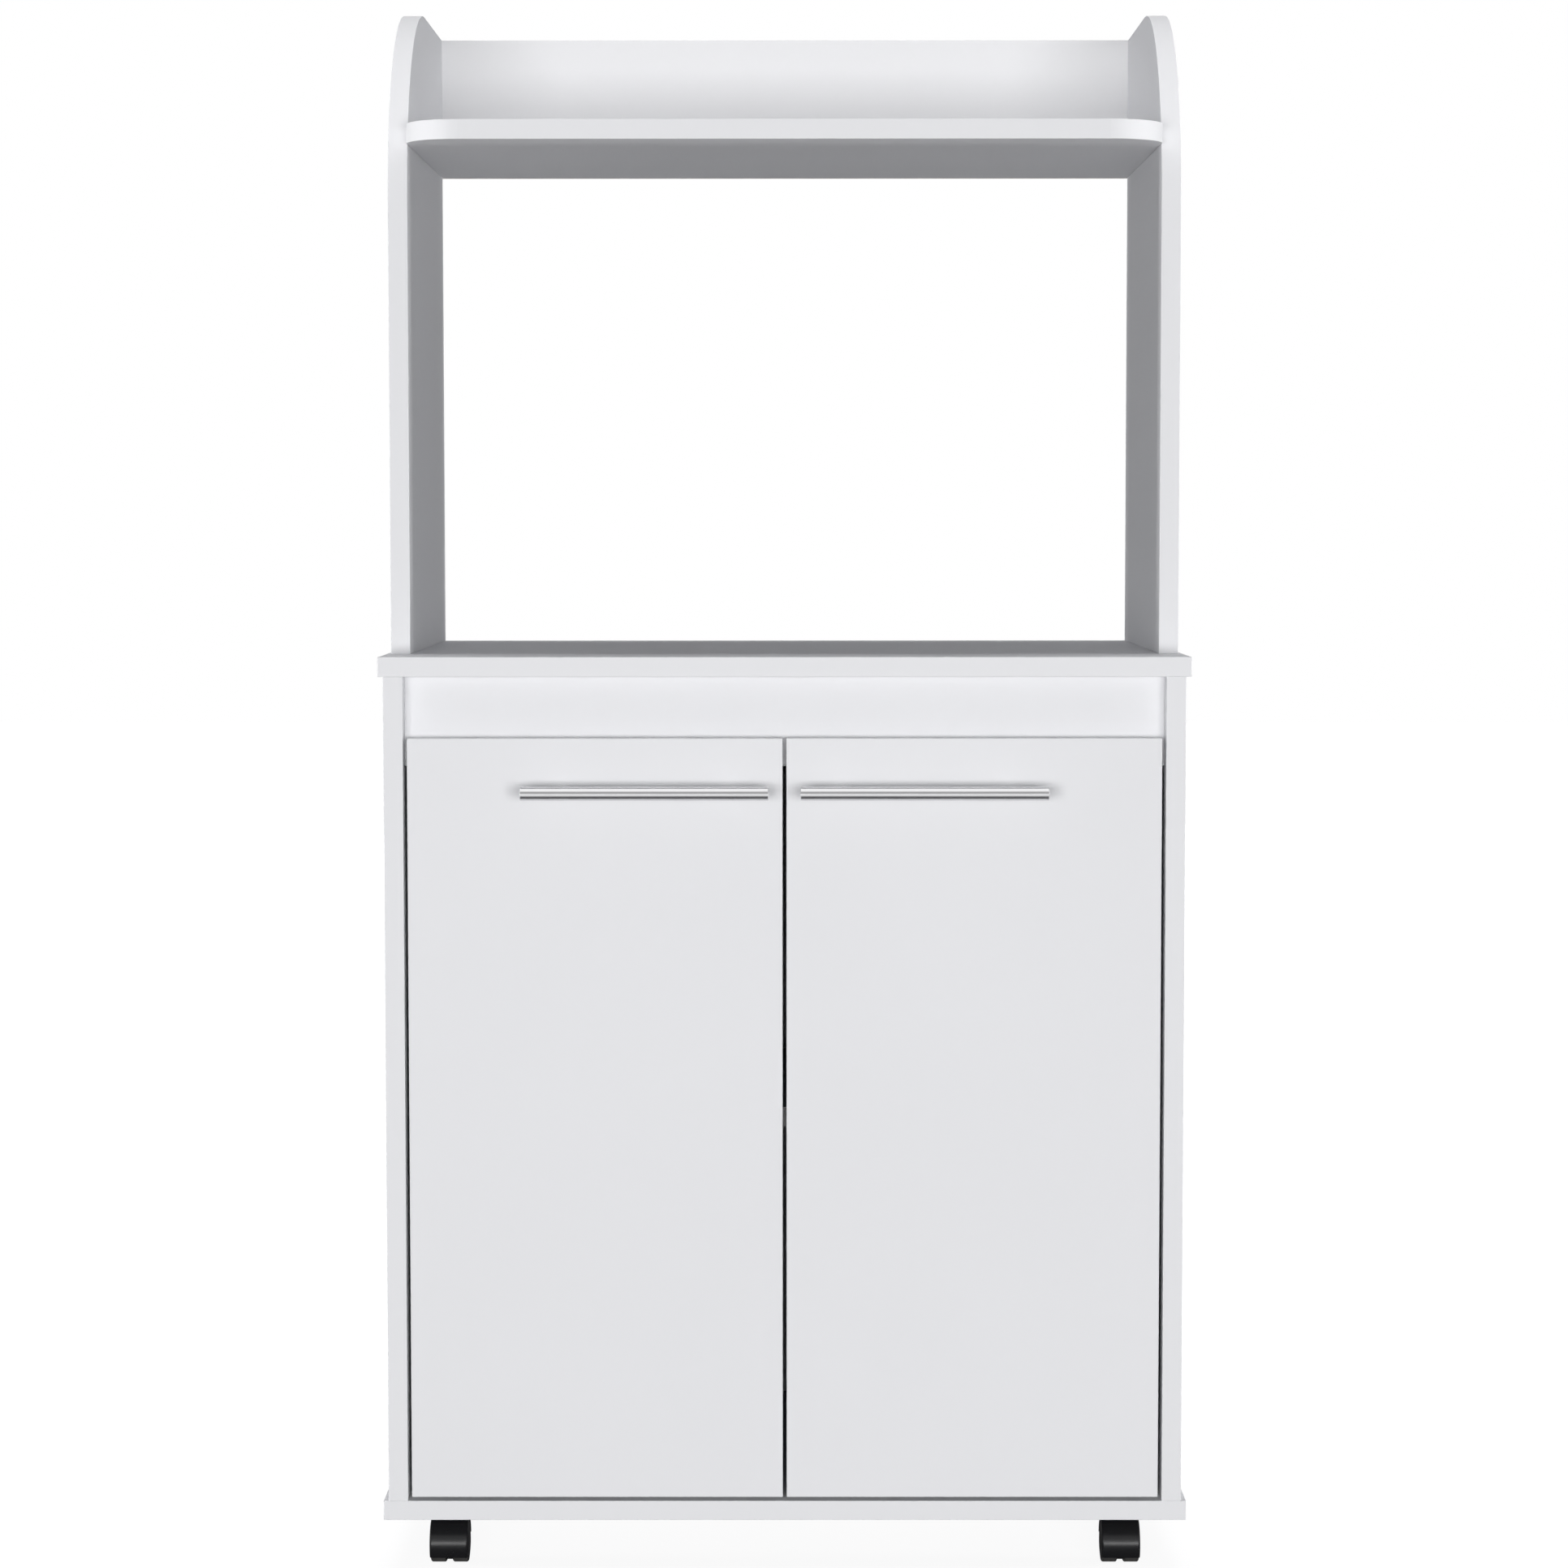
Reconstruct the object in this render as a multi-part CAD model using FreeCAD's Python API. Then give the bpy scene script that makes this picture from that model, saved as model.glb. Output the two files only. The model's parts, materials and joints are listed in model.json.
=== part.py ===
import FreeCAD, Part

import math
import os

# Microwave cart. Millimetres. X runs to the right, Y to the back and Z up.
# The origin is on the floor, under the middle of the cart's overall box.

# Boards
board = 15.0                  # thickness of the laminated boards
edge_round = 0.4              # rounding of the banded edges
back_thickness = 3.0          # hardboard back panel and hutch rail
cart_width = 620.0            # length of the worktop and of the base
cart_depth = 380.0            # worktop front to the back of the back panel
side_inset = 4.0              # sides stand in from the worktop's ends
side_height = 637.0           # cabinet sides, base to worktop
apron_height = 69.0
inner_shelf_height = 285.0    # base board to the underside of the inner shelf
inner_shelf_setback = 45.0    # inner shelf's front edge, behind the fronts of the sides
inner_shelf_play = 1.0        # room at each end of the loose shelf

# Hutch
hutch_height = 509.0          # hutch sides, above the worktop
hutch_setback = 64.5          # hutch sides' front edges, behind the worktop's front
hutch_corner_radius = 158.0
shelf_drop = 101.0            # hutch sides' top down to the upper shelf
shelf_overhang = 43.0         # upper shelf, ahead of the hutch sides
shelf_front_flat = 496.0      # straight part of the upper shelf's front edge

# Doors
door_thickness = 15.0
door_gap = 3.0                # around and between the doors
door_top_drop = 47.0          # worktop's underside to the top of the doors
bumper_thickness = 1.7
bumper_radius = 4.0
bumper_play = 0.3             # bumper to the closed door
bumper_edge = 30.0            # bumper's centre from the door's free edge

# Bar handles
bar_radius = 5.25
bar_length = 188.0
bar_end_chamfer = 0.6
bar_edge = 10.5               # door's free edge to the end of the bar
bar_drop = 40.0               # door's top to the bar's centre line
bar_reach = 35.0              # door's front to the front of the bar
post_pitch = 128.0
post_radius = 4.0
spigot_radius = 2.5
spigot_depth = 4.0
handle_screw_radius = 2.0
handle_screw_bite = 14.0      # screw's length inside the post
handle_screw_head_radius = 4.0
handle_screw_head = 2.4

# Concealed hinges
hinge_edge = 90.0             # door's top and bottom edges to the hinges
cup_radius = 17.5
cup_depth = 11.5
cup_wall = 1.0
cup_edge = 21.5               # door's hinge edge to the cup's centre
flange_radius = 19.0
flange_thickness = 1.2
ear_width = 11.0
cup_screw_pitch = 48.0
cup_screw_length = 9.0
link_half_width = 5.0
link_half_thickness = 1.3
link_eye_radius = 3.0
pin_radius = 1.5
cup_pin_half_length = 14.5
cup_pivot_edge = 13.5         # door's hinge edge to the pivot in the cup
cup_pivot_sink = 3.0          # pivot in the cup, below the door's back face
arm_pivot_edge = 38.0         # door's hinge edge to the pivot at the arm
arm_pivot_rise = 12.0         # pivot at the arm, behind the door's back face
elbow_edge = 22.5             # door's hinge edge to the link's elbow
elbow_sink = 5.5              # link's elbow, below the door's back face
arm_half_width = 7.5
arm_half_thickness = 2.5
arm_nose_radius = 4.0
arm_slot_radius = 7.0
arm_length = 63.0             # arm pivot to the arm's rear end, front to back
arm_rest = 14.0               # arm's middle plane above the cabinet side
arm_neck = 13.0               # straight neck behind the arm's pivot
arm_crank = 14.0              # front-to-back length of the crank
plate_setback = 35.0          # arm pivot to the mounting plate's screws
plate_half_height = 24.0
plate_half_depth = 8.0
plate_base = 2.0
plate_block_half_width = 6.0
plate_block_front = 8.0
plate_block_back = 24.0
plate_screw_pitch = 32.0
wood_screw_radius = 1.75
wood_screw_head_radius = 3.2
wood_screw_head = 1.2

# Fixings between the boards
dowel_radius = 4.0
dowel_shallow = 9.0           # depth in a board's face
dowel_deep = 20.0             # depth in a board's edge
cam_radius = 7.5
cam_depth = 12.0
cam_edge = 24.0               # board's edge to the cam's centre
bolt_radius = 2.8
bolt_bite = 10.0              # bolt's depth in a board's face
hutch_bolt_bite = 30.0        # bolt's depth in the hutch side's lower edge
base_screw_radius = 2.5
base_screw_bite = 35.0
base_screw_head_radius = 4.5
base_screw_head = 3.0
fixing_edge = 45.0            # outer fixings from a board's front and back edges
fixing_step = 32.0            # from one fixing to the next beside it
nail_radius = 0.8
nail_bite = 16.0
nail_head_radius = 2.0
nail_head = 0.6
nail_rows = 5
shelf_pin_radius = 2.5
shelf_pin_bite = 8.0
shelf_pin_reach = 7.0
shelf_pin_edge = 45.0

# Casters
caster_height = 43.0
caster_side = 48.0            # swivel axis from the worktop's end
caster_edge = 52.0            # swivel axes from the base's front and back edges
caster_trail = 12.0           # swivel axis to the axle ahead of it
caster_plate = 38.0
caster_plate_thickness = 2.0
caster_plate_corner = 5.0
caster_screw_pitch = 28.0
caster_screw_length = 12.0
stem_radius = 4.0
stem_head_radius = 5.2
stem_head = 1.5
stem_length = 8.5             # below the plate
hood_width = 29.8
hood_wall = 2.0
hood_shoulder = 1.6           # rounding of the hood's two rims
hood_web = 4.0                # wall between the wheels
hood_web_radius = 14.0
hood_boss_radius = 7.5
hood_tilt = 20.0              # degrees, the hood's lower rim falls to the front
hood_rim_drop = 3.0           # rim's plane below the axle
swivel_play = 0.5
wheel_radius = 16.0
wheel_width = 12.2            # tread
wheel_round = 1.6
wheel_dome = 1.0              # crown of the wheel's outer face
wheel_play = 0.4
wheel_cap = 2.4               # closed end of the wheel's bore
axle_radius = 2.5
axle_bead = 0.4               # the wheel snaps over a bead near the axle's end
axle_bead_width = 1.2
axle_bead_inset = 2.0         # axle's end to the bead

# Clearances
fit = 0.05                    # radial play of a pin, shaft or fixing in its hole
slack = 0.3                   # free play between pieces that only face each other

# Levels and places worked out from the dimensions above
front = -(cart_depth - bar_reach) / 2
back = front + cart_depth
board_back = back - back_thickness
outer_x = cart_width / 2 - side_inset
inner_x = outer_x - board
side_x = outer_x - board / 2
base_bottom = caster_height
base_top = base_bottom + board
worktop_bottom = base_top + side_height
worktop_top = worktop_bottom + board
hutch_front = front + hutch_setback
hutch_top = worktop_top + hutch_height
shelf_top = hutch_top - shelf_drop
shelf_bottom = shelf_top - board
shelf_mid = (shelf_bottom + shelf_top) / 2
door_bottom = base_top + door_gap
door_top = worktop_bottom - door_top_drop
door_free_x = door_gap / 2
door_hinge_x = inner_x - door_gap
door_back = front + door_thickness
apron_front = door_back + bumper_thickness + bumper_play
apron_mid = apron_front + board / 2
apron_bottom = worktop_bottom - apron_height
inner_shelf_bottom = base_top + inner_shelf_height
inner_shelf_front = front + inner_shelf_setback

X = FreeCAD.Vector(1, 0, 0)
Y = FreeCAD.Vector(0, 1, 0)
Z = FreeCAD.Vector(0, 0, 1)

pieces = {}
holes = {}


def point(x, y, z):
    return FreeCAD.Vector(x, y, z)


def box(low_x, high_x, low_y, high_y, low_z, high_z):
    size = (high_x - low_x, high_y - low_y, high_z - low_z)
    return Part.makeBox(*size, point(low_x, low_y, low_z))


def rod(start, axis, radius, length):
    return Part.makeCylinder(radius, length, start, axis)


def soften(solid, radius=edge_round):
    return solid.makeFillet(radius, solid.Edges)


def slab(wire, depth):
    return Part.Face(wire).extrude(depth)


def mirrored(shape):
    return shape.mirror(point(0, 0, 0), X)


def add(name, *solids):
    pieces.setdefault(name, []).extend(solids)


def drill(name, *cutters):
    holes.setdefault(name, []).extend(cutters)


def add_pair(name, *solids):
    """The right-hand piece as modelled, and the left-hand one as its mirror image."""
    add(name + "_right", *solids)
    add(name + "_left", *[mirrored(solid) for solid in solids])


def drill_pair(name, *cutters):
    drill(name + "_right", *cutters)
    drill(name + "_left", *[mirrored(cutter) for cutter in cutters])


def add_both(name, *solids):
    """One node that holds the right-hand piece and its mirror image."""
    add(name, *solids)
    add(name, *[mirrored(solid) for solid in solids])


def drill_both(name, *cutters):
    drill(name, *cutters)
    drill(name, *[mirrored(cutter) for cutter in cutters])


def headed_pin(seat, axis, shank_radius, shank, head_radius, head):
    """A shank from its seat along the axis, with a flat head outside the seat."""
    body = rod(seat, axis, shank_radius, shank)
    return body.fuse(rod(seat - axis * head, axis, head_radius, head)).removeSplitter()


# Boards ------------------------------------------------------------------------------------------


def make_cabinet():
    half = cart_width / 2
    add("worktop", soften(box(-half, half, front, back, worktop_bottom, worktop_top)))
    add("base_panel", soften(box(-half, half, front, back, base_bottom, base_top)))
    side = box(inner_x, outer_x, front, board_back, base_top, worktop_bottom)
    add_pair("cabinet_side", soften(side))
    apron = box(-inner_x, inner_x, apron_front, apron_front + board, apron_bottom, worktop_bottom)
    add("apron", soften(apron))
    add("cabinet_back", box(-outer_x, outer_x, board_back, back, base_top, worktop_bottom))


def make_inner_shelf():
    end = inner_x - inner_shelf_play
    top = inner_shelf_bottom + board
    shelf = box(-end, end, inner_shelf_front, board_back - slack, inner_shelf_bottom, top)
    add("inner_shelf", soften(shelf))
    for y in (inner_shelf_front + shelf_pin_edge, board_back - shelf_pin_edge):
        level = inner_shelf_bottom - shelf_pin_radius
        seat = point(inner_x + shelf_pin_bite, y, level)
        length = shelf_pin_bite + shelf_pin_reach
        add_both("shelf_pins", rod(seat, -X, shelf_pin_radius, length))
        drill_pair("cabinet_side", rod(seat, -X, shelf_pin_radius + fit, shelf_pin_bite))


def make_hutch_side():
    r = hutch_corner_radius
    centre_y = hutch_front + r
    centre_z = hutch_top - r
    on_arc = r * math.sqrt(0.5)
    corners = [
        point(inner_x, board_back, hutch_top),
        point(inner_x, board_back, worktop_top),
        point(inner_x, hutch_front, worktop_top),
        point(inner_x, hutch_front, centre_z),
    ]
    arc_mid = point(inner_x, centre_y - on_arc, centre_z + on_arc)
    arc_end = point(inner_x, centre_y, hutch_top)
    edges = [Part.makeLine(a, b) for a, b in zip(corners, corners[1:])]
    edges.append(Part.Arc(corners[-1], arc_mid, arc_end).toShape())
    edges.append(Part.makeLine(arc_end, corners[0]))
    add_pair("hutch_side", soften(slab(Part.Wire(edges), X * board)))


def make_top_shelf():
    """A board between the hutch sides, whose front corners round back to the sides' front edges."""
    nose = hutch_front - shelf_overhang
    flat = shelf_front_flat / 2
    width = inner_x - flat
    on_arc_x = flat + width * math.sqrt(0.5)
    on_arc_y = hutch_front - shelf_overhang * math.sqrt(0.5)
    right = point(inner_x, hutch_front, shelf_bottom)
    left = point(-inner_x, hutch_front, shelf_bottom)
    front_right = point(flat, nose, shelf_bottom)
    front_left = point(-flat, nose, shelf_bottom)
    back_right = point(inner_x, board_back, shelf_bottom)
    back_left = point(-inner_x, board_back, shelf_bottom)
    edges = [
        Part.makeLine(front_left, front_right),
        Part.Arc(front_right, point(on_arc_x, on_arc_y, shelf_bottom), right).toShape(),
        Part.makeLine(right, back_right),
        Part.makeLine(back_right, back_left),
        Part.makeLine(back_left, left),
        Part.Arc(left, point(-on_arc_x, on_arc_y, shelf_bottom), front_left).toShape(),
    ]
    add("top_shelf", soften(slab(Part.Wire(edges), Z * board)))


def make_hutch_rail():
    add("hutch_back_rail", box(-outer_x, outer_x, board_back, back, shelf_bottom, hutch_top))


# Fixings between the boards ----------------------------------------------------------------------


def dowel(seam, axis, deep_board, shallow_board):
    """A wooden dowel across a seam; the axis points into the board that holds it deep."""
    start = seam - axis * dowel_shallow
    length = dowel_shallow + dowel_deep
    add_both("dowels", rod(start, axis, dowel_radius, length))
    hole = rod(start, axis, dowel_radius + fit, length)
    for name in (deep_board, shallow_board):
        drill_any(name, hole)


def drill_any(name, cutter):
    """Sides come in pairs; every other board crosses the middle and is drilled at both ends."""
    if name in ("cabinet_side", "hutch_side"):
        drill_pair(name, cutter)
    else:
        drill_both(name, cutter)


def cam_fixing(seam, axis, face, cam_axis, cam_board, bolt_board, bite, bolt_node):
    """A bolt across a seam, held by a turning cam. face is the cam's centre on the board's face."""
    length = bite + cam_edge
    start = seam - axis * bite
    bolt = rod(start, axis, bolt_radius, length)
    bolt_hole = rod(start, axis, bolt_radius + fit, length + fit)
    cam = rod(face, cam_axis, cam_radius, cam_depth)
    add_both("cam_discs", cam.cut(bolt_hole))
    add_both(bolt_node, bolt)
    drill_any(cam_board, rod(face, cam_axis, cam_radius + fit, cam_depth + fit))
    drill_any(cam_board, bolt_hole)
    for name in bolt_board:
        drill_any(name, bolt_hole)


def make_board_fixings():
    front_y = front + fixing_edge
    back_y = board_back - fixing_edge
    for y, step in ((front_y, fixing_step), (back_y, -fixing_step)):
        dowel(point(side_x, y, base_top), Z, "cabinet_side", "base_panel")
        screw_base(y + step)
    dowel(point(side_x, front_y, worktop_bottom), -Z, "cabinet_side", "worktop")
    for y in (hutch_front + fixing_edge, back_y):
        face = point(inner_x, y, worktop_bottom - cam_edge)
        seam = point(side_x, y, worktop_bottom)
        bite = board + hutch_bolt_bite
        cam_fixing(seam, -Z, face, X, "cabinet_side", ("worktop", "hutch_side"), bite, "hutch_bolts")
    for y, step in ((hutch_front + fixing_edge, fixing_step), (back_y, -fixing_step)):
        dowel(point(side_x, y + step, worktop_top), Z, "hutch_side", "worktop")
        dowel(point(inner_x, y + step, shelf_mid), -X, "top_shelf", "hutch_side")
        face = point(inner_x - cam_edge, y, shelf_top)
        seam = point(inner_x, y, shelf_mid)
        cam_fixing(seam, -X, face, -Z, "top_shelf", ("hutch_side",), bolt_bite, "cam_bolts")
    low_z = apron_bottom + apron_height / 2 - fixing_step / 2
    dowel(point(inner_x, apron_mid, low_z), -X, "apron", "cabinet_side")
    high_z = low_z + fixing_step
    face = point(inner_x - cam_edge, apron_front + board, high_z)
    seam = point(inner_x, apron_mid, high_z)
    cam_fixing(seam, -X, face, -Y, "apron", ("cabinet_side",), bolt_bite, "cam_bolts")


def screw_base(y):
    """A screw up through the base board into a cabinet side, its head sunk in the underside."""
    seat = point(side_x, y, base_bottom + base_screw_head)
    shank = board - base_screw_head + base_screw_bite
    head = (base_screw_head_radius, base_screw_head)
    add_both("base_screws", headed_pin(seat, Z, base_screw_radius, shank, *head))
    wide = (base_screw_head_radius + fit, base_screw_head)
    hole = headed_pin(seat, Z, base_screw_radius + fit, shank, *wide)
    drill_both("base_panel", hole)
    drill_pair("cabinet_side", hole)


def make_nails():
    """Nails through the back panel into the cabinet sides, and through the rail into the hutch."""
    step = (side_height - 2 * fixing_edge) / (nail_rows - 1)
    cabinet = [(side_x, base_top + fixing_edge + step * row) for row in range(nail_rows)]
    rail_edge = (hutch_top - shelf_top) / 4
    rail = [(side_x, shelf_top + rail_edge), (side_x, hutch_top - rail_edge)]
    shelf = [(inner_x / 3, shelf_mid), (inner_x * 2 / 3, shelf_mid)]
    groups = (
        (cabinet, "cabinet_back", "cabinet_side"),
        (rail, "hutch_back_rail", "hutch_side"),
        (shelf, "hutch_back_rail", "top_shelf"),
    )
    for places, panel, carrier in groups:
        for x, z in places:
            seat = point(x, back - nail_head, z)
            shank = back_thickness - nail_head + nail_bite
            add_both("panel_nails", headed_pin(seat, -Y, nail_radius, shank, nail_head_radius, nail_head))
            wide = (nail_head_radius + fit, nail_head)
            hole = headed_pin(seat, -Y, nail_radius + fit, shank, *wide)
            drill_both(panel, hole)
            drill_any(carrier, hole)


# Doors and handles -------------------------------------------------------------------------------


def make_doors():
    door = box(door_free_x, door_hinge_x, front, door_back, door_bottom, door_top)
    add_pair("door", soften(door))
    seat = point(door_free_x + bumper_edge, apron_front, (apron_bottom + door_top) / 2)
    add_both("door_bumpers", rod(seat, -Y, bumper_radius, bumper_thickness))


def make_handle():
    level = door_top - bar_drop
    start_x = door_free_x + bar_edge
    bar_y = front - bar_reach + bar_radius
    bar = rod(point(start_x, bar_y, level), X, bar_radius, bar_length)
    rims = [edge for edge in bar.Edges if isinstance(edge.Curve, Part.Circle)]
    bar = bar.makeChamfer(bar_end_chamfer, rims)
    spigot_tip = bar_y + bar_radius - spigot_depth
    for sign in (-1, 1):
        x = start_x + bar_length / 2 + sign * post_pitch / 2
        foot = point(x, front, level)
        post = rod(foot, -Y, post_radius, bar_reach - bar_radius)
        around_bar = rod(point(start_x, bar_y, level), X, bar_radius + fit, bar_length)
        spigot = rod(foot, -Y, spigot_radius, front - spigot_tip)
        hole = rod(point(x, spigot_tip - fit, level), Y, spigot_radius + fit, spigot_depth + fit)
        bar = bar.cut(hole)
        thread = rod(foot, -Y, handle_screw_radius + fit, handle_screw_bite + fit)
        add_pair("handle_posts", post.cut(around_bar).fuse(spigot).removeSplitter().cut(thread))
        seat = point(x, door_back, level)
        shank = door_thickness + handle_screw_bite
        head = (handle_screw_head_radius, handle_screw_head)
        add_pair("handle_screws", headed_pin(seat, -Y, handle_screw_radius, shank, *head))
        drill_pair("door", rod(seat, -Y, handle_screw_radius + fit, door_thickness))
    add_pair("handle_bar", bar)


# Concealed hinges --------------------------------------------------------------------------------
# Places near a hinge are given as (across, deep): across inboard from the door's hinge edge, and
# deep from the door's back face towards the back of the cabinet.


def hinge_point(across, deep, z):
    return point(door_hinge_x - across, door_back + deep, z)


def strip(path, half_thickness, z, half_width):
    """A bent flat bar through the points of a path, standing on edge about the level z."""
    low = z - half_width
    bar = None
    for a, b in zip(path, path[1:]):
        start = hinge_point(*a, low)
        end = hinge_point(*b, low)
        side = (end - start).cross(Z).normalize() * half_thickness
        corners = [start + side, end + side, end - side, start - side, start + side]
        leg = slab(Part.makePolygon(corners), Z * (2 * half_width))
        leg = leg.fuse(rod(end, Z, half_thickness, 2 * half_width))
        bar = leg if bar is None else bar.fuse(leg)
    return bar


def upright(place, z, radius, half_length):
    return rod(hinge_point(*place, z - half_length), Z, radius, 2 * half_length)


def make_cup(z, cup_pivot):
    centre = hinge_point(cup_edge, -cup_depth, z)
    pocket = rod(centre, Y, cup_radius, cup_depth)
    face = hinge_point(cup_edge, 0, z)
    flange = rod(face, Y, flange_radius, flange_thickness)
    reach = cup_screw_pitch / 2
    half = ear_width / 2
    ears = box(
        face.x - half, face.x + half, face.y, face.y + flange_thickness, z - reach, z + reach
    )
    cup = pocket.fuse([flange, ears])
    drill_pair("door", rod(centre, Y, cup_radius + fit, cup_depth))
    for sign in (-1, 1):
        eye = point(face.x, face.y, z + sign * reach)
        cup = cup.fuse(rod(eye, Y, half, flange_thickness))
        seat = eye + Y * flange_thickness
        head = (wood_screw_head_radius, wood_screw_head)
        screw = headed_pin(seat, -Y, wood_screw_radius, cup_screw_length, *head)
        add_pair("hinge_cup_screws", screw)
        hole = rod(seat, -Y, wood_screw_radius + fit, cup_screw_length)
        cup = cup.cut(hole)
        drill_pair("door", hole)
    bore_depth = cup_depth - cup_wall + flange_thickness
    bore = rod(centre + Y * cup_wall, Y, cup_radius - cup_wall, bore_depth)
    pin_hole = upright(cup_pivot, z, pin_radius + fit, cup_pin_half_length + fit)
    add_pair("hinge_cups", cup.removeSplitter().cut(bore).cut(pin_hole))


def make_link(z, cup_pivot, elbow, arm_pivot):
    link = strip((cup_pivot, elbow, arm_pivot), link_half_thickness, z, link_half_width)
    for pivot in (cup_pivot, arm_pivot):
        link = link.fuse(upright(pivot, z, link_eye_radius, link_half_width))
    link = link.removeSplitter()
    for pivot, half_length in ((cup_pivot, cup_pin_half_length), (arm_pivot, arm_half_width)):
        link = link.cut(upright(pivot, z, pin_radius + fit, link_half_width))
        add_pair("hinge_pins", upright(pivot, z, pin_radius, half_length))
    add_pair("hinge_links", link)


def make_arm(z, arm_pivot):
    across, deep = arm_pivot
    rest_across = arm_rest - door_gap
    neck = (across, deep + arm_neck)
    landing = (rest_across, deep + arm_neck + arm_crank)
    tail = (rest_across, deep + arm_length)
    path = (arm_pivot, neck, landing, tail)
    arm = strip(path, arm_half_thickness, z, arm_half_width)
    arm = arm.fuse(upright(arm_pivot, z, arm_nose_radius, arm_half_width)).removeSplitter()
    arm = arm.cut(upright(arm_pivot, z, arm_slot_radius, link_half_width + slack))
    add_both("hinge_arms", arm.cut(upright(arm_pivot, z, pin_radius + fit, arm_half_width)))


def make_mounting_plate(z, arm_pivot):
    middle_y = hinge_point(*arm_pivot, z).y + plate_setback
    block_top = arm_rest - arm_half_thickness
    base = box(
        inner_x - plate_base, inner_x,
        middle_y - plate_half_depth, middle_y + plate_half_depth,
        z - plate_half_height, z + plate_half_height,
    )
    block = box(
        inner_x - block_top, inner_x,
        middle_y - plate_block_front, middle_y + plate_block_back,
        z - plate_block_half_width, z + plate_block_half_width,
    )
    plate = base.fuse(block).removeSplitter()
    for sign in (-1, 1):
        seat = point(inner_x - plate_base, middle_y, z + sign * plate_screw_pitch / 2)
        shank = plate_base + bolt_bite
        head = (wood_screw_head_radius, wood_screw_head)
        add_both("hinge_plate_screws", headed_pin(seat, X, wood_screw_radius, shank, *head))
        hole = rod(seat, X, wood_screw_radius + fit, shank)
        plate = plate.cut(hole)
        drill_pair("cabinet_side", hole)
    add_both("hinge_plates", plate)


def make_hinges():
    cup_pivot = (cup_pivot_edge, -cup_pivot_sink)
    elbow = (elbow_edge, -elbow_sink)
    arm_pivot = (arm_pivot_edge, arm_pivot_rise)
    for z in (door_bottom + hinge_edge, door_top - hinge_edge):
        make_cup(z, cup_pivot)
        make_link(z, cup_pivot, elbow, arm_pivot)
        make_arm(z, arm_pivot)
        make_mounting_plate(z, arm_pivot)


# Casters -----------------------------------------------------------------------------------------
# Each caster is modelled about its own swivel axis, with its wheels to the front of that axis.

plate_bottom = caster_height - caster_plate_thickness
hood_inner = wheel_radius + hood_wall / 2
hood_outer = hood_inner + hood_wall
well_start = hood_web / 2
wheel_inner = well_start + wheel_play
wheel_outer = wheel_inner + wheel_width
axle_half = wheel_outer - wheel_cap - slack
stem_bottom = plate_bottom - stem_length


def axle_point(x):
    return point(x, -caster_trail, wheel_radius)


def caster_corners(z):
    half = caster_screw_pitch / 2
    return [point(x, y, z) for x in (-half, half) for y in (-half, half)]


def make_caster_plate():
    half = caster_plate / 2
    plate = box(-half, half, -half, half, plate_bottom, caster_height)
    uprights = [edge for edge in plate.Edges if edge.Curve.Direction.cross(Z).Length < fit]
    plate = plate.makeFillet(caster_plate_corner, uprights)
    plate = plate.cut(rod(point(0, 0, plate_bottom), Z, stem_radius + fit, caster_plate_thickness))
    for corner in caster_corners(plate_bottom):
        plate = plate.cut(rod(corner, Z, wood_screw_radius + fit, caster_plate_thickness))
    return plate


def make_caster_screws():
    head = (wood_screw_head_radius, wood_screw_head)
    shank = (wood_screw_radius, caster_screw_length)
    return [headed_pin(corner, Z, *shank, *head) for corner in caster_corners(plate_bottom)]


def make_stem():
    shank = stem_length - stem_head + caster_plate_thickness
    seat = point(0, 0, stem_bottom + stem_head)
    return headed_pin(seat, Z, stem_radius, shank, stem_head_radius, stem_head)


def above_rim():
    """The half space above the hood's tilted lower rim."""
    size = 4 * hood_outer
    low = point(-size / 2, -caster_trail - size / 2, wheel_radius - hood_rim_drop)
    space = Part.makeBox(size, size, size, low)
    return space.rotate(axle_point(0), X, hood_tilt)


def make_hood():
    hood = soften_rims(rod(axle_point(-hood_width / 2), X, hood_outer, hood_width), hood_shoulder)
    hood = hood.common(above_rim())
    boss_bottom = wheel_radius
    boss_height = plate_bottom - swivel_play - boss_bottom
    hood = hood.fuse(rod(point(0, 0, boss_bottom), Z, hood_boss_radius, boss_height))
    for start in (-hood_width, well_start):
        depth = hood_width - well_start
        hood = hood.cut(rod(axle_point(start), X, hood_inner, depth))
    hood = hood.fuse(rod(axle_point(-well_start), X, hood_web_radius, hood_web)).removeSplitter()
    hood = hood.cut(rod(point(0, 0, boss_bottom), Z, stem_radius + fit, caster_height))
    head_room = stem_bottom + stem_head + slack - boss_bottom
    hood = hood.cut(rod(point(0, 0, boss_bottom), Z, stem_head_radius + slack, head_room))
    return hood.cut(rod(axle_point(-hood_web), X, axle_radius + fit, 2 * hood_web))


def soften_rims(solid, radius):
    rims = [edge for edge in solid.Edges if isinstance(edge.Curve, Part.Circle)]
    return solid.makeFillet(radius, rims)


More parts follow.
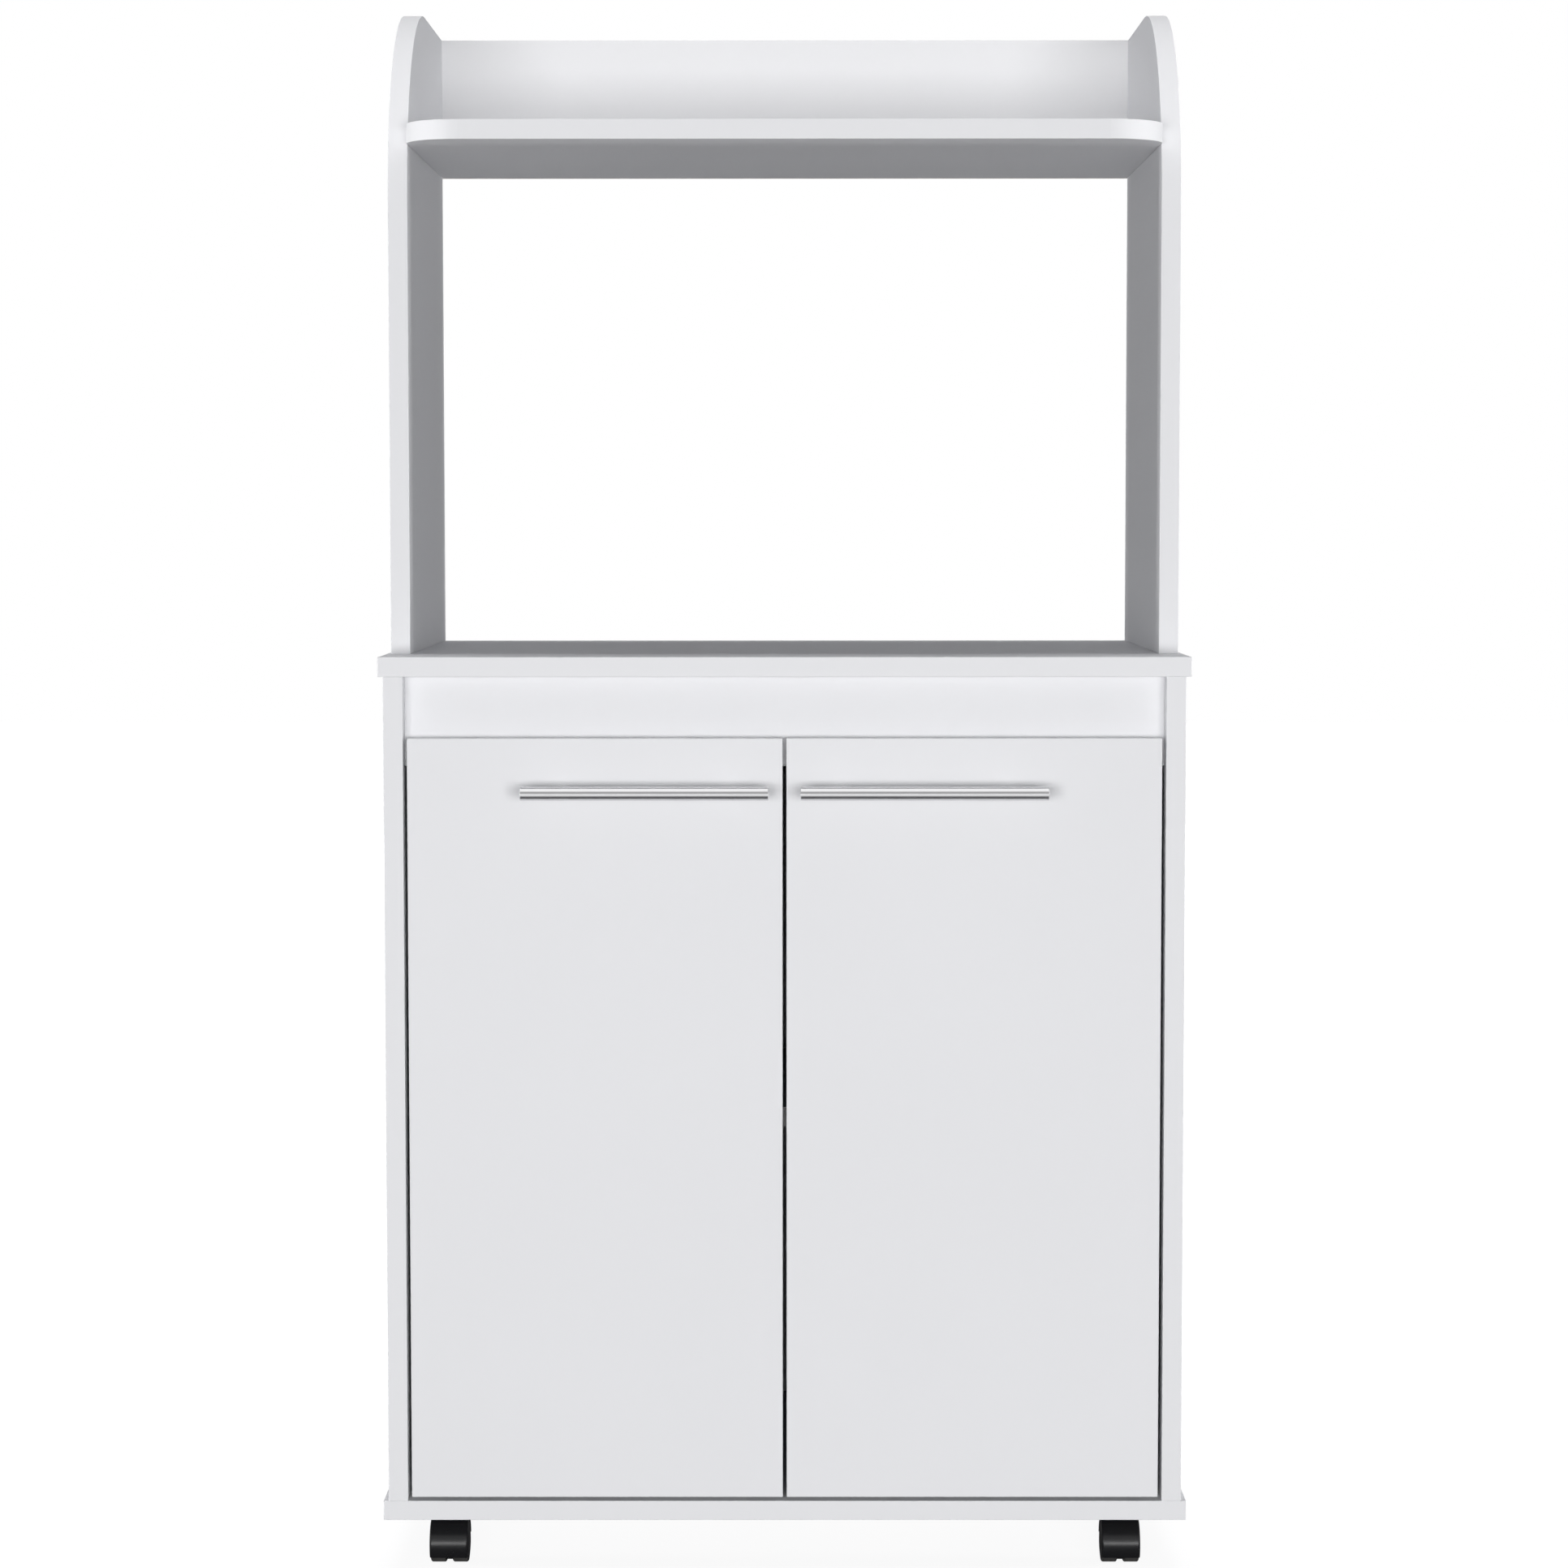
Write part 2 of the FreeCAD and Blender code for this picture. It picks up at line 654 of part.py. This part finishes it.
def make_wheel():
    """A wheel with a rounded tread, a domed outer face and a blind bore with a snap groove."""
    tread = soften_rims(rod(axle_point(wheel_inner), X, wheel_radius, wheel_width), wheel_round)
    face_radius = wheel_radius - wheel_round
    ball_radius = (face_radius ** 2 + wheel_dome ** 2) / (2 * wheel_dome)
    ball_x = wheel_outer + wheel_dome - ball_radius
    ball = Part.makeSphere(ball_radius, axle_point(ball_x))
    crown = ball.common(rod(axle_point(wheel_outer - wheel_cap), X, face_radius, 2 * wheel_cap))
    wheel = tread.fuse(crown).removeSplitter()
    depth = axle_half + slack - wheel_inner
    wheel = wheel.cut(rod(axle_point(wheel_inner), X, axle_radius + fit, depth))
    groove_start = axle_half - axle_bead_inset - axle_bead_width - slack
    groove = rod(
        axle_point(groove_start), X, axle_radius + axle_bead + fit, axle_bead_width + 2 * slack
    )
    return wheel.cut(groove)


def make_axle():
    axle = rod(axle_point(-axle_half), X, axle_radius, 2 * axle_half)
    bead_start = axle_half - axle_bead_inset - axle_bead_width
    bead = rod(axle_point(bead_start), X, axle_radius + axle_bead, axle_bead_width)
    return axle.fuse([bead, mirrored(bead)]).removeSplitter()


def make_casters():
    plate, screws, stem = make_caster_plate(), make_caster_screws(), make_stem()
    hood, axle, wheel = make_hood(), make_axle(), make_wheel()
    caster_x = cart_width / 2 - caster_side
    rows = (("front", front + caster_edge), ("rear", back - caster_edge))
    columns = (("left", -caster_x), ("right", caster_x))
    for row, y in rows:
        for column, x in columns:
            place = point(x, y, 0)
            corner = f"_{row}_{column}"
            add("caster_plate" + corner, plate.translated(place))
            add("caster_hood" + corner, hood.translated(place))
            add("caster_axle" + corner, axle.translated(place))
            add("caster_wheel_a" + corner, mirrored(wheel).translated(place))
            add("caster_wheel_b" + corner, wheel.translated(place))
            add("caster_stems", stem.translated(place))
            add("caster_screws", *[screw.translated(place) for screw in screws])
            for corner_point in caster_corners(base_bottom):
                bite = caster_screw_length - caster_plate_thickness
                start = corner_point + place
                drill("base_panel", rod(start, Z, wood_screw_radius + fit, bite))


def write_parts():
    os.makedirs("parts", exist_ok=True)
    for name, solids in pieces.items():
        cutters = holes.get(name, [])
        finished = [solid.cut(cutters) if cutters else solid for solid in solids]
        shape = finished[0] if len(finished) == 1 else Part.makeCompound(finished)
        shape.exportStep(f"parts/{name}.step")


make_cabinet()
make_inner_shelf()
make_hutch_side()
make_top_shelf()
make_hutch_rail()
make_board_fixings()
make_nails()
make_doors()
make_handle()
make_hinges()
make_casters()
write_parts()
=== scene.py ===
"""Looks of the microwave cart: white laminated boards, brushed steel handles and black casters."""

import json
import math

import bpy
from mathutils import Matrix, Vector


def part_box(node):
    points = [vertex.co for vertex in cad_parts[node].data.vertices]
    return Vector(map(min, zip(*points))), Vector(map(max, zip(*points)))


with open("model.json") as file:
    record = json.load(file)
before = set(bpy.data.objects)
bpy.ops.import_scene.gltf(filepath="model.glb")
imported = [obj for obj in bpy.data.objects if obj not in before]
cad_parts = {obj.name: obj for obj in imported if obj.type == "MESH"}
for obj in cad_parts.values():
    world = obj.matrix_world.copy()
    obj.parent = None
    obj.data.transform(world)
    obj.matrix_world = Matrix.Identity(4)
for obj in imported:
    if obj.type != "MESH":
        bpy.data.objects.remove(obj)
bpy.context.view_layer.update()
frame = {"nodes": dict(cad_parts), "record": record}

MM = 0.001

# Photograph
PHOTO_WIDTH = 1932                       # pixels, a square picture
FOCAL_PIXELS = 4810.9                    # focal length
SENSOR = 36.0                            # camera's film width, in millimetres
CAMERA_PLACE = (0.0044, -3.1431, 0.8216)
CAMERA_DOWN = 4.012                      # degrees below level
CAMERA_LEFT = 0.092                      # degrees left of straight ahead
CAMERA_ROLL = -0.023                     # degrees

# Colours
LAMINATE = (0.80, 0.802, 0.818)
BAND = (0.795, 0.797, 0.812)
SEAM = (0.62, 0.62, 0.63)
HARDBOARD_FACE = (0.79, 0.79, 0.80)
HARDBOARD_CORE = (0.33, 0.22, 0.14)
BAR_STEEL = (0.74, 0.74, 0.75)
NICKEL = (0.62, 0.60, 0.56)
ZINC = (0.56, 0.57, 0.59)
BEECH = (0.66, 0.47, 0.29)
BEECH_DARK = (0.48, 0.31, 0.17)
BUMPER = (0.72, 0.73, 0.72)
HOOD_BLACK = (0.010, 0.010, 0.011)
WHEEL_BLACK = (0.016, 0.016, 0.017)
TREAD_DUST = (0.085, 0.082, 0.078)
WHITE = (1.0, 1.0, 1.0)


class Link:
    """A shader output that Python arithmetic can use."""

    def __init__(self, graph, socket):
        self.graph = graph
        self.socket = socket

    def math(self, operation, *others):
        return self.graph.math(operation, self, *others)

    def __add__(self, other):
        return self.math("ADD", other)

    def __sub__(self, other):
        return self.math("SUBTRACT", other)

    def __mul__(self, other):
        return self.math("MULTIPLY", other)

    def __truediv__(self, other):
        return self.math("DIVIDE", other)

    __radd__ = __add__
    __rmul__ = __mul__

    def __rsub__(self, other):
        return self.graph.math("SUBTRACT", other, self)

    def __rtruediv__(self, other):
        return self.graph.math("DIVIDE", other, self)

    def low(self, other):
        return self.math("MINIMUM", other)

    def high(self, other):
        return self.math("MAXIMUM", other)

    def size(self):
        return self.math("ABSOLUTE")

    def above(self, limit):
        return self.math("GREATER_THAN", limit)

    def root(self):
        return self.math("SQRT")

    def wave(self, pitch):
        """A sine wave that repeats once in each pitch."""
        return (self * (2 * math.pi / pitch)).math("SINE")

    def clamp(self):
        return self.graph.node("ShaderNodeClamp", {}, {"Value": self})


class Graph:
    """The node tree of one material or of the world."""

    def __init__(self, owner):
        owner.use_nodes = True
        self.tree = owner.node_tree
        self.tree.nodes.clear()

    def node(self, kind, settings=None, values=None, output=0):
        """Makes a node: its settings first, then the values or links of its sockets."""
        made = self.tree.nodes.new(kind)
        for name, setting in (settings or {}).items():
            if name == "stops":
                self.set_stops(made.color_ramp, setting)
            else:
                setattr(made, name, setting)
        for name, value in (values or {}).items():
            if isinstance(value, Link):
                self.tree.links.new(value.socket, made.inputs[name])
            else:
                made.inputs[name].default_value = value
        return Link(self, made.outputs[output]) if made.outputs else made

    def set_stops(self, ramp, stops):
        while len(ramp.elements) < len(stops):
            ramp.elements.new(0.5)
        for element, (place, colour) in zip(ramp.elements, stops):
            element.position = place
            element.color = (*colour, 1.0)

    def math(self, operation, *inputs):
        return self.node("ShaderNodeMath", {"operation": operation}, dict(enumerate(inputs)))

    def coordinates(self, output="Object"):
        return self.node("ShaderNodeTexCoord", output=output)

    def parts(self, vector):
        first = self.node("ShaderNodeSeparateXYZ", {}, {0: vector})
        return [Link(self, socket) for socket in first.socket.node.outputs]

    def scaled(self, vector, factors):
        return self.node("ShaderNodeVectorMath", {"operation": "MULTIPLY"}, {0: vector, 1: factors})

    def noise(self, vector, scale, detail=3.0, roughness=0.5):
        values = {"Vector": vector, "Scale": scale, "Detail": detail, "Roughness": roughness}
        return self.node("ShaderNodeTexNoise", {}, values)

    def blend(self, factor, first, second):
        colours = [c if isinstance(c, Link) else (*c, 1.0) for c in (first, second)]
        values = {0: factor, 6: colours[0], 7: colours[1]}
        return self.node("ShaderNodeMix", {"data_type": "RGBA"}, values, output=2)

    def varied(self, factor, colour, darkest, lightest):
        """One colour that varies between two multiples of itself."""
        dark, light = ([c * share for c in colour] for share in (darkest, lightest))
        return self.blend(factor, dark, light)

    def bump(self, height, depth, strength):
        values = {"Height": height, "Distance": depth, "Strength": strength}
        return self.node("ShaderNodeBump", {}, values)

    def finish(self, **values):
        names = {name.replace("_", " "): value for name, value in values.items()}
        shader = self.node("ShaderNodeBsdfPrincipled", {}, names)
        self.node("ShaderNodeOutputMaterial", {}, {"Surface": shader})


def new_material(name):
    material = bpy.data.materials.new(name)
    return material, Graph(material)


# Boards ------------------------------------------------------------------------------------------

SEAM_INSET = 0.8 * MM                    # edge banding's thickness
SEAM_HALF = 0.12 * MM
SEAM_SHOWS = 0.7                         # share of the seam's own colour
SEAM_GROOVE = 2.0                        # its depth, in multiples of PEEL_DEPTH
HUTCH_CORNER = 158 * MM
SHELF_CORNER = 43 * MM
PEEL_DEPTH = 0.02 * MM
FIBRE_DEPTH = 0.03 * MM
MESH_PITCH = 1.6 * MM                    # pressed mesh on the hardboard's rear
WIDE_FACE = 0.9                          # least share of a wide face's normal across its board
PANEL_FACE = 0.6                         # the same for the hardboard
BOARD_IOR = 1.48
LAMINATE_SHINE = 0.06
HARDBOARD_SHINE = 0.3


def thin_axis(node):
    low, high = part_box(node)
    size = high - low
    return min(range(3), key=lambda axis: size[axis])


def edge_distance(graph, node, place, corners):
    """Distance on a board's wide face to its nearest edge, round corners included."""
    low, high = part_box(node)
    across = [axis for axis in range(3) if axis != thin_axis(node)]
    ends = {(axis, 0): place[axis] - low[axis] for axis in across}
    ends.update({(axis, 1): high[axis] - place[axis] for axis in across})
    nearest = None
    for distance in ends.values():
        nearest = distance if nearest is None else nearest.low(distance)
    for first, second, radius in corners:
        u = (radius - ends[first]).high(0.0)
        v = (radius - ends[second]).high(0.0)
        nearest = nearest.low(radius - (u * u + v * v).root())
    return nearest


def laminate(node, corners=()):
    """White melamine: a faint orange peel, and banding whose seam runs just inside each edge."""
    material, graph = new_material("laminate_" + node)
    place = graph.coordinates()
    wide_face = graph.parts(graph.coordinates("Normal"))[thin_axis(node)].size().above(WIDE_FACE)
    distance = edge_distance(graph, node, graph.parts(place), corners)
    seam = (1.0 - (distance - SEAM_INSET).size() / SEAM_HALF).clamp() * wide_face
    clouds = graph.noise(place, scale=5.0, detail=4.0)
    peel = graph.noise(place, scale=1400.0, detail=2.0)
    grain = graph.noise(place, scale=260.0)
    face = graph.varied(clouds, LAMINATE, 0.985, 1.015)
    tone = graph.blend(wide_face, BAND, face)
    colour = graph.blend(seam * SEAM_SHOWS, tone, SEAM)
    roughness = 0.60 + clouds * 0.06 + grain * 0.05 - (1.0 - wide_face) * 0.06
    relief = peel * 0.6 + grain * 0.4 - seam * SEAM_GROOVE
    graph.finish(
        Base_Color=colour,
        Roughness=roughness,
        Normal=graph.bump(relief, PEEL_DEPTH, strength=0.6),
        Specular_IOR_Level=LAMINATE_SHINE,
        IOR=BOARD_IOR,
    )
    return material


def hardboard(node):
    """Thin hardboard: lacquered faces, a pressed mesh on its rear and a brown core at the rim."""
    material, graph = new_material("hardboard_" + node)
    place = graph.coordinates()
    x, _, z = graph.parts(place)
    along = graph.parts(graph.coordinates("Normal"))[1]
    rim = 1.0 - along.size().above(PANEL_FACE)
    rear = along.above(PANEL_FACE)
    clouds = graph.noise(place, scale=6.0, detail=4.0)
    fibres = graph.noise(graph.scaled(place, (1.0, 1.0, 3.0)), scale=420.0, detail=4.0)
    face = graph.varied(clouds, HARDBOARD_FACE, 0.98, 1.01)
    core = graph.varied(fibres, HARDBOARD_CORE, 0.75, 1.25)
    mesh = x.wave(MESH_PITCH) * z.wave(MESH_PITCH) * rear
    graph.finish(
        Base_Color=graph.blend(rim, face, core),
        Roughness=0.46 + fibres * 0.06 + rim * 0.35 + rear * 0.1,
        Normal=graph.bump(mesh * 0.5 + fibres * 0.5, FIBRE_DEPTH, strength=0.5),
        Specular_IOR_Level=HARDBOARD_SHINE,
        IOR=BOARD_IOR,
    )
    return material


# Metals ------------------------------------------------------------------------------------------

ALONG_BAR = (0.03, 1.0, 1.0)             # draws the brush marks out along a bar
ALONG_POST = (1.0, 0.05, 1.0)            # and along a post
BRUSH_DEPTH = 0.004 * MM
SPANGLE_DEPTH = 0.01 * MM
NICKEL_SPANGLE = 1500.0                  # texture scale of the plating's flecks
ZINC_SPANGLE = 700.0


def brushed_steel(node, stretch):
    """Satin steel whose brush marks run along the piece."""
    material, graph = new_material("brushed_steel_" + node)
    place = graph.coordinates()
    marks = graph.noise(graph.scaled(place, stretch), scale=2600.0, detail=4.0, roughness=0.6)
    soft = graph.noise(place, scale=40.0)
    graph.finish(
        Base_Color=graph.varied(marks, BAR_STEEL, 0.90, 1.08),
        Metallic=1.0,
        Roughness=0.12 + marks * 0.08 + soft * 0.03,
        Normal=graph.bump(marks, BRUSH_DEPTH, strength=0.4),
    )
    return material


def plated(name, colour, spangle):
    """Plated pressed steel: a fine spangle and a few handling marks."""
    material, graph = new_material(name)
    place = graph.coordinates()
    flecks = graph.noise(place, spangle)
    marks = graph.noise(place, scale=90.0, detail=5.0, roughness=0.65)
    graph.finish(
        Base_Color=graph.varied(flecks, colour, 0.88, 1.08),
        Metallic=1.0,
        Roughness=0.24 + marks * 0.18,
        Normal=graph.bump(flecks, SPANGLE_DEPTH, strength=0.35),
    )
    return material


# Small parts -------------------------------------------------------------------------------------

WOOD_DEPTH = 0.05 * MM
RUBBER_DEPTH = 0.02 * MM
HOOD_DEPTH = 0.012 * MM
WHEEL_DEPTH = 0.02 * MM
SPECK_LEVEL = 0.62                       # specks above it hold dust
DUST_TILT = 0.2                          # lets a little dust onto upright faces
DUST_SHARE = 0.35
TREAD_START = 14.2 * MM                  # from the wheel's centre to where its wear begins
TREAD_FADE = 1.4 * MM
RING_PITCH = 1.1 * MM                    # turning marks on the wheel's face


def beech():
    """Turned beech whose fibres run upright."""
    material, graph = new_material("beech")
    place = graph.coordinates()
    fibres = graph.noise(graph.scaled(place, (1.0, 1.0, 0.08)), scale=900.0, detail=4.0)
    flecks = graph.noise(graph.scaled(place, (1.0, 1.0, 0.2)), scale=2400.0, detail=2.0)
    graph.finish(
        Base_Color=graph.blend(fibres, BEECH_DARK, BEECH),
        Roughness=0.6 + fibres * 0.2,
        Normal=graph.bump(fibres * 0.7 + flecks * 0.3, WOOD_DEPTH, strength=0.5),
    )
    return material


def bumper_rubber():
    """Pale, slightly hazy rubber."""
    material, graph = new_material("bumper_rubber")
    haze = graph.noise(graph.coordinates(), scale=300.0)
    graph.finish(
        Base_Color=graph.varied(haze, BUMPER, 0.93, 1.05),
        Roughness=0.42 + haze * 0.2,
        Normal=graph.bump(haze, RUBBER_DEPTH, strength=0.4),
    )
    return material


def hood_plastic():
    """Glossy moulded nylon with faint flow marks and a little dust on what faces up."""
    material, graph = new_material("hood_plastic")
    place = graph.coordinates()
    up = graph.parts(graph.coordinates("Normal"))[2]
    flow = graph.noise(graph.scaled(place, (0.4, 1.0, 1.0)), scale=120.0, detail=4.0)
    specks = graph.noise(place, scale=2200.0, detail=2.0)
    dust = (specks - SPECK_LEVEL).high(0.0) * (up + DUST_TILT).clamp() * DUST_SHARE
    graph.finish(
        Base_Color=graph.blend(dust, HOOD_BLACK, TREAD_DUST),
        Roughness=0.24 + flow * 0.10 + dust,
        Normal=graph.bump(flow * 0.6 + specks * 0.4, HOOD_DEPTH, strength=0.4),
    )
    return material


def wheel_plastic(node):
    """Hard black nylon wheel, scuffed and greyed where the tread meets the floor."""
    material, graph = new_material("wheel_plastic_" + node)
    low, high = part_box(node)
    centre = (low + high) / 2
    place = graph.coordinates()
    _, y, z = graph.parts(place)
    dy, dz = y - centre.y, z - centre.z
    radius = (dy * dy + dz * dz).root()
    tread = ((radius - TREAD_START) / TREAD_FADE).clamp()
    stretched = graph.scaled(place, (0.35, 1.0, 1.0))
    scuffs = graph.noise(stretched, scale=700.0, detail=5.0, roughness=0.65)
    wear = tread * (0.35 + scuffs * 0.9).clamp()
    rings = radius.wave(RING_PITCH) * (1.0 - tread)
    graph.finish(
        Base_Color=graph.blend(wear, WHEEL_BLACK, TREAD_DUST),
        Roughness=0.30 + wear * 0.30 + scuffs * 0.08,
        Normal=graph.bump(scuffs * 0.5 + rings * 0.08, WHEEL_DEPTH, strength=0.4),
    )
    return material


# Dressing ----------------------------------------------------------------------------------------

# Round corners of boards: two ends of the board as (axis, low or high), and the radius
HUTCH_SIDE_CORNERS = [((1, 0), (2, 1), HUTCH_CORNER)]
TOP_SHELF_CORNERS = [((0, 0), (1, 0), SHELF_CORNER), ((0, 1), (1, 0), SHELF_CORNER)]
ROUND_CORNERS = {
    "hutch_side_left": HUTCH_SIDE_CORNERS,
    "hutch_side_right": HUTCH_SIDE_CORNERS,
    "top_shelf": TOP_SHELF_CORNERS,
}


def material_for(node, slot, shared):
    """A board, handle piece or wheel gets a material of its own, and the rest share theirs."""
    if slot == "white_laminate":
        return laminate(node, ROUND_CORNERS.get(node, ()))
    if slot == "white_hardboard":
        return hardboard(node)
    if slot == "handle_steel":
        return brushed_steel(node, ALONG_BAR if node.startswith("handle_bar") else ALONG_POST)
    if slot == "wheel_black":
        return wheel_plastic(node)
    return shared[slot]


def dress_all():
    """Gives every node the material of its slot in the record."""
    shared = {
        "nickel_steel": plated("nickel", NICKEL, NICKEL_SPANGLE),
        "zinc_steel": plated("zinc", ZINC, ZINC_SPANGLE),
        "dowel_beech": beech(),
        "clear_rubber": bumper_rubber(),
        "caster_black": hood_plastic(),
    }
    for part in frame["record"]["subparts"]:
        node = part["node"]
        material = material_for(node, part["material_slot"], shared)
        for slot in frame["nodes"][node].material_slots:
            slot.material = material


# Studio ------------------------------------------------------------------------------------------

FLOOR_SIZE = 24.0
FLOOR_TONE = (0.21, 0.21, 0.215)
FLOOR_NEAR = 0.90                        # white that only the camera sees on the floor by the cart
FLOOR_FAR = 1.0                          # and further off
NEAR_RADIUS = 0.56                       # from the cart's middle to where it starts to whiten
NEAR_FADE = 0.25
FLOOR_SHEEN = 0.78                       # the floor's white in reflections, away from the cart
PAINTED_SHADE_RADIUS = 0.75                      # from the cart's middle to where that white starts; nearer, reflections show painted shade for the cart's shadow
PAINTED_SHADE_FADE = 0.45
AMBIENT = 0.12
AMBIENT_TINT = (0.955, 0.98, 1.05)

# What reflections show in front of the cart, by the height that they look up to
ROOM_PEAK = 3.0
ROOM = [(0.0, 0.30), (0.05, 0.24), (0.08, 0.16), (0.52, 0.16), (0.72, 0.38), (1.0, 0.42)]
ROOM_EDGE = 2.0                          # how fast that gives way to white towards the back

# Softboxes: place, what they aim at, width and height in metres, and power in watts
SOFTBOXES = {
    "front": ((0.0, -5.0, 0.62), (0.0, 0.0, 0.55), (4.2, 1.1), 211.0),
    "top": ((0.0, 0.0, 3.8), (0.0, 0.0, 0.0), (2.6, 1.2), 49.0),
    "rear": ((0.0, 7.0, 0.90), (0.0, 0.0, 0.60), (1.2, 0.8), 330.0),
    "left": ((-7.0, 0.0, 0.60), (0.0, 0.0, 0.60), (1.0, 1.2), 300.0),
    "right": ((7.0, 0.0, 0.60), (0.0, 0.0, 0.60), (1.0, 1.2), 300.0),
}

# A low strip light that only shows as a highlight on the casters
STRIP = ((0.0, -5.0, 0.26), (0.0, 0.0, 0.10), (3.0, 0.5), 47.0)


def ray(graph, kind):
    return graph.node("ShaderNodeLightPath", output=kind)


def make_world():
    """White to the camera, dim as a light, and in reflections a pale room with a dim band."""
    world = bpy.data.worlds.new("studio")
    bpy.context.scene.world = world
    graph = Graph(world)
    _, along, height = graph.parts(graph.coordinates("Generated"))
    stops = [(place, (tone, tone, tone)) for place, tone in ROOM]
    room = graph.node("ShaderNodeValToRGB", {"stops": stops}, {"Fac": height})
    tone = graph.node("ShaderNodeRGBToBW", {}, {"Color": room}) * ROOM_PEAK
    in_front = (0.5 - along * ROOM_EDGE).clamp()
    mirrored = 1.0 + in_front * (tone - 1.0)
    strength = AMBIENT + ray(graph, "Is Glossy Ray") * (mirrored - AMBIENT)
    seen = ray(graph, "Is Camera Ray").high(ray(graph, "Is Transmission Ray"))
    colour = graph.blend(seen.high(ray(graph, "Is Glossy Ray")), AMBIENT_TINT, WHITE)
    values = {"Color": colour, "Strength": strength.high(seen)}
    background = graph.node("ShaderNodeBackground", {}, values)
    graph.node("ShaderNodeOutputWorld", {}, {"Surface": background})


def floor_paint():
    """Pale paint that takes the cart's shadow and looks white to the camera; in reflections it is
    white away from the cart and dark near it, a painted shade for the cart's shadow.
    """
    material, graph = new_material("floor_paint")
    x, y, _ = graph.parts(graph.coordinates())
    distance = (x * x + y * y).root()
    away = ((distance - NEAR_RADIUS) / NEAR_FADE).clamp()
    seen = FLOOR_NEAR + away * (FLOOR_FAR - FLOOR_NEAR)
    # Reflections see no white near the cart: a painted shade for the cart's shadow on the floor.
    mirrored = ((distance - PAINTED_SHADE_RADIUS) / PAINTED_SHADE_FADE).clamp() * FLOOR_SHEEN
    glow = ray(graph, "Is Camera Ray") * seen + ray(graph, "Is Glossy Ray") * mirrored
    paint = graph.node("ShaderNodeBsdfDiffuse", {}, {"Color": (*FLOOR_TONE, 1.0)})
    white = graph.node("ShaderNodeEmission", {}, {"Color": (*WHITE, 1.0), "Strength": glow})
    surface = graph.node("ShaderNodeAddShader", {}, {0: paint, 1: white})
    graph.node("ShaderNodeOutputMaterial", {}, {"Surface": surface})
    return material


def make_floor():
    mesh = bpy.data.meshes.new("floor")
    half = FLOOR_SIZE / 2
    corners = [(-half, -half, 0), (half, -half, 0), (half, half, 0), (-half, half, 0)]
    mesh.from_pydata(corners, [], [(0, 1, 2, 3)])
    mesh.materials.append(floor_paint())
    floor = bpy.data.objects.new("floor", mesh)
    bpy.context.scene.collection.objects.link(floor)


def make_softbox(name, place, aim, size, power):
    data = bpy.data.lights.new(name + "_softbox", "AREA")
    data.shape = "RECTANGLE"
    data.size, data.size_y = size
    data.energy = power
    lamp = bpy.data.objects.new(name + "_softbox", data)
    lamp.location = place
    lamp.rotation_euler = (Vector(aim) - Vector(place)).to_track_quat("-Z", "Y").to_euler()
    lamp.visible_camera = False
    lamp.visible_glossy = False
    bpy.context.scene.collection.objects.link(lamp)
    return lamp


def make_strip():
    strip = make_softbox("strip", *STRIP)
    strip.visible_diffuse = False
    strip.visible_glossy = True
    casters = bpy.data.collections.new("casters")
    for node, piece in frame["nodes"].items():
        if node.startswith("caster_"):
            casters.objects.link(piece)
    strip.light_linking.receiver_collection = casters


def make_camera():
    data = bpy.data.cameras.new("photo_camera")
    data.sensor_width = SENSOR
    data.lens = SENSOR * FOCAL_PIXELS / PHOTO_WIDTH
    camera = bpy.data.objects.new("photo_camera", data)
    heading = Matrix.Rotation(math.radians(CAMERA_LEFT), 4, "Z")
    tilt = Matrix.Rotation(math.radians(90 - CAMERA_DOWN), 4, "X")
    roll = Matrix.Rotation(math.radians(CAMERA_ROLL), 4, "Z")
    camera.matrix_world = Matrix.Translation(CAMERA_PLACE) @ heading @ tilt @ roll
    bpy.context.scene.collection.objects.link(camera)
    bpy.context.scene.camera = camera


def make_studio():
    make_world()
    make_floor()
    for name, settings in SOFTBOXES.items():
        make_softbox(name, *settings)
    make_strip()
    make_camera()
    bpy.context.scene.view_settings.view_transform = "Standard"


dress_all()
make_studio()
